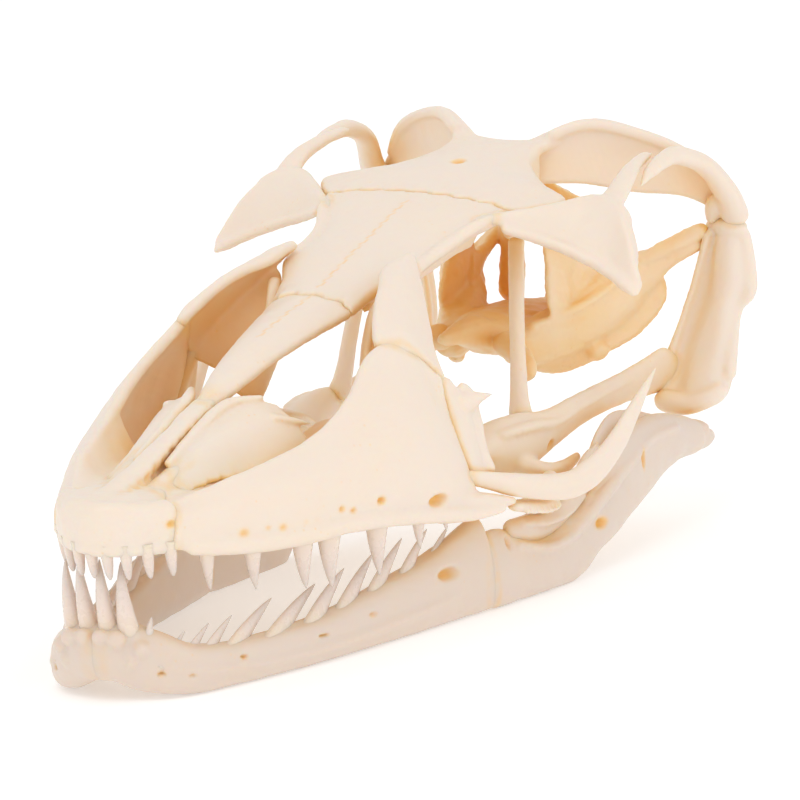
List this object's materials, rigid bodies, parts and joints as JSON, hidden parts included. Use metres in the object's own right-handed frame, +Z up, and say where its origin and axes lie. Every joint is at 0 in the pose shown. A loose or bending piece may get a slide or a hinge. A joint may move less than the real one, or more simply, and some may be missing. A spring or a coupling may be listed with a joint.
{
  "type": "monitor lizard skull",
  "caption": "Cleaned skull of an adult monitor lizard, long and low, with open arches, curved teeth and the cranium resting on its lower jaw.",
  "frame": {"origin": "centre of the bounding box at the table, under the skull", "axes": "+Z up, snout towards -Y, the skull's own left side towards +X"},
  "size_m": [0.073, 0.1372, 0.0659],
  "materials": {
    "cranium_bone": "clean dry ivory bone, satin",
    "deep_bone": "warm amber bone, satin",
    "jaw_bone": "pinkish beige dry bone, satin"
  },
  "bodies": {
    "root": {"braincase": "deep_bone", "coronoid_left": "jaw_bone", "coronoid_right": "jaw_bone", "dentary_left": "jaw_bone", "dentary_right": "jaw_bone", "ectopterygoid_left": "cranium_bone", "ectopterygoid_right": "cranium_bone", "epipterygoid_left": "cranium_bone", "epipterygoid_right": "cranium_bone", "frontal": "cranium_bone", "jugal_left": "cranium_bone", "jugal_right": "cranium_bone", "lacrimal_left": "cranium_bone", "lacrimal_right": "cranium_bone", "maxilla_left": "cranium_bone", "maxilla_right": "cranium_bone", "nasal": "cranium_bone", "palatine_left": "cranium_bone", "palatine_right": "cranium_bone", "parietal": "cranium_bone", "postdentary_left": "jaw_bone", "postdentary_right": "jaw_bone", "postorbitofrontal_left": "cranium_bone", "postorbitofrontal_right": "cranium_bone", "prefrontal_left": "cranium_bone", "prefrontal_right": "cranium_bone", "premaxilla": "cranium_bone", "pterygoid_left": "cranium_bone", "pterygoid_right": "cranium_bone", "quadrate_left": "cranium_bone", "quadrate_right": "cranium_bone", "septomaxilla_left": "deep_bone", "septomaxilla_right": "deep_bone", "squamosal_left": "cranium_bone", "squamosal_right": "cranium_bone", "vomer_left": "deep_bone", "vomer_right": "deep_bone"}
  },
  "joints": []
}
